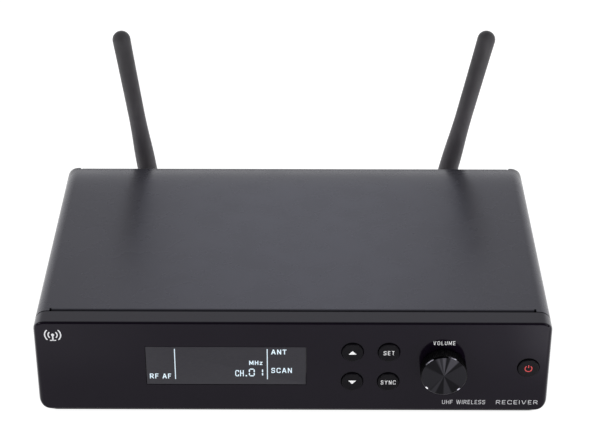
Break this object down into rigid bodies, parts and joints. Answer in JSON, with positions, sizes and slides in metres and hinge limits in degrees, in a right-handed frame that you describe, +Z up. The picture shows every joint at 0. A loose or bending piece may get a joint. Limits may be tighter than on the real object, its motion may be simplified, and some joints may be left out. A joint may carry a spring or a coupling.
{
  "type": "wireless microphone receiver",
  "caption": "Half-rack wireless microphone receiver with a display window, round keys, a volume knob and folding rear antennas.",
  "frame": {"origin": "on the table, under the middle of the footprint, which runs from the volume knob's face to the back of the antenna knuckles", "axes": "+X to the right of someone facing the front panel, +Y to the back, where the antennas are, +Z up"},
  "size_m": [0.2, 0.1508, 0.1027],
  "materials": {
    "lid_paint": "fine satin powder coat",
    "chassis_paint": "satin powder coat",
    "panel_black": "semi-gloss moulded",
    "window_grey": "glossy display window",
    "button_black": "satin",
    "knob_black": "moulded ribs",
    "disc_metal": "spun, dark anodised",
    "antenna_black": "soft matte",
    "rubber_black": "matte",
    "nickel": "bright nickel plate",
    "connector_black": "satin",
    "screw_black": "black zinc",
    "tinplate": "tinned",
    "board_green": "solder mask",
    "lcd_glass": "polarised glass",
    "cable_grey": "satin",
    "print_grey": "screen print",
    "display_lit": "lit segments",
    "print_red": "screen print"
  },
  "bodies": {
    "housing": {"antenna_lead_left": "cable_grey", "antenna_lead_right": "cable_grey", "base_chassis": "chassis_paint", "bezel_screw_left": "screw_black", "bezel_screw_right": "screw_black", "bnc_nut_left": "nickel", "bnc_nut_right": "nickel", "bnc_socket_left": "nickel", "bnc_socket_right": "nickel", "cord_hook": "connector_black", "dc_socket": "connector_black", "display_window": "window_grey", "down_switch": "connector_black", "foot_front_left": "rubber_black", "foot_front_right": "rubber_black", "foot_rear_left": "rubber_black", "foot_rear_right": "rubber_black", "front_bezel": "panel_black", "front_circuit_board": "board_green", "jack_nut": "connector_black", "jack_socket": "connector_black", "lcd_frame": "connector_black", "lcd_panel": "lcd_glass", "lid_screw_left": "screw_black", "lid_screw_right": "screw_black", "main_circuit_board": "board_green", "potentiometer": "tinplate", "power_switch": "connector_black", "rf_shield_left": "tinplate", "rf_shield_right": "tinplate", "ribbon_cable": "cable_grey", "set_switch": "connector_black", "side_screw_front_left": "screw_black", "side_screw_front_right": "screw_black", "side_screw_rear_left": "screw_black", "side_screw_rear_right": "screw_black", "sync_switch": "connector_black", "top_cover": "lid_paint", "up_switch": "connector_black", "xlr_insert": "connector_black", "xlr_screw_left": "screw_black", "xlr_screw_right": "screw_black", "xlr_shell": "nickel"},
    "up_key": {"up_button": "button_black"},
    "down_key": {"down_button": "button_black"},
    "set_key": {"set_button": "button_black"},
    "sync_key": {"sync_button": "button_black"},
    "power_key": {"power_button": "button_black"},
    "volume_control": {"volume_knob": "knob_black", "knob_face_disc": "disc_metal", "potentiometer_shaft": "nickel"},
    "antenna_left_lock": {"antenna_left_collar": "nickel"},
    "antenna_left_base": {"antenna_left_knuckle": "antenna_black", "antenna_left_pin": "nickel"},
    "antenna_left_mast": {"antenna_left_rod": "antenna_black"},
    "antenna_right_lock": {"antenna_right_collar": "nickel"},
    "antenna_right_base": {"antenna_right_knuckle": "antenna_black", "antenna_right_pin": "nickel"},
    "antenna_right_mast": {"antenna_right_rod": "antenna_black"}
  },
  "joints": [
    {"name": "up_press", "type": "slide", "parent": "housing", "child": "up_key", "axis": [0, 1, 0], "range_m": [0, 0.0006], "stiffness_N_per_m": 2000},
    {"name": "down_press", "type": "slide", "parent": "housing", "child": "down_key", "axis": [0, 1, 0], "range_m": [0, 0.0006], "stiffness_N_per_m": 2000},
    {"name": "set_press", "type": "slide", "parent": "housing", "child": "set_key", "axis": [0, 1, 0], "range_m": [0, 0.0006], "stiffness_N_per_m": 2000},
    {"name": "sync_press", "type": "slide", "parent": "housing", "child": "sync_key", "axis": [0, 1, 0], "range_m": [0, 0.0006], "stiffness_N_per_m": 2000},
    {"name": "power_press", "type": "slide", "parent": "housing", "child": "power_key", "axis": [0, 1, 0], "range_m": [0, 0.0006], "stiffness_N_per_m": 2000},
    {"name": "volume_turn", "type": "hinge", "parent": "housing", "child": "volume_control", "pos_m": [0.05845, -0.0692, 0.0235], "axis": [0, 1, 0], "range_deg": [-150, 150]},
    {"name": "antenna_left_unlock", "type": "hinge", "parent": "housing", "child": "antenna_left_lock", "pos_m": [-0.0656, 0.0588, 0.0235], "axis": [0, 1, 0], "range_deg": [0, 90]},
    {"name": "antenna_left_swivel", "type": "hinge", "parent": "housing", "child": "antenna_left_base", "pos_m": [-0.0656, 0.0708, 0.0235], "axis": [0, 1, 0], "range_deg": [-82.8, 97.2]},
    {"name": "antenna_left_tilt", "type": "hinge", "parent": "antenna_left_base", "child": "antenna_left_mast", "pos_m": [-0.0656, 0.0708, 0.0235], "axis": [-0.9921, 0, -0.1253], "range_deg": [0, 92.2]},
    {"name": "antenna_right_unlock", "type": "hinge", "parent": "housing", "child": "antenna_right_lock", "pos_m": [0.0674, 0.0588, 0.0235], "axis": [0, 1, 0], "range_deg": [0, 90]},
    {"name": "antenna_right_swivel", "type": "hinge", "parent": "housing", "child": "antenna_right_base", "pos_m": [0.0674, 0.0708, 0.0235], "axis": [0, 1, 0], "range_deg": [-102.1, 77.9]},
    {"name": "antenna_right_tilt", "type": "hinge", "parent": "antenna_right_base", "child": "antenna_right_mast", "pos_m": [0.0674, 0.0708, 0.0235], "axis": [-0.9778, 0, 0.2096], "range_deg": [-2.2, 90]}
  ]
}
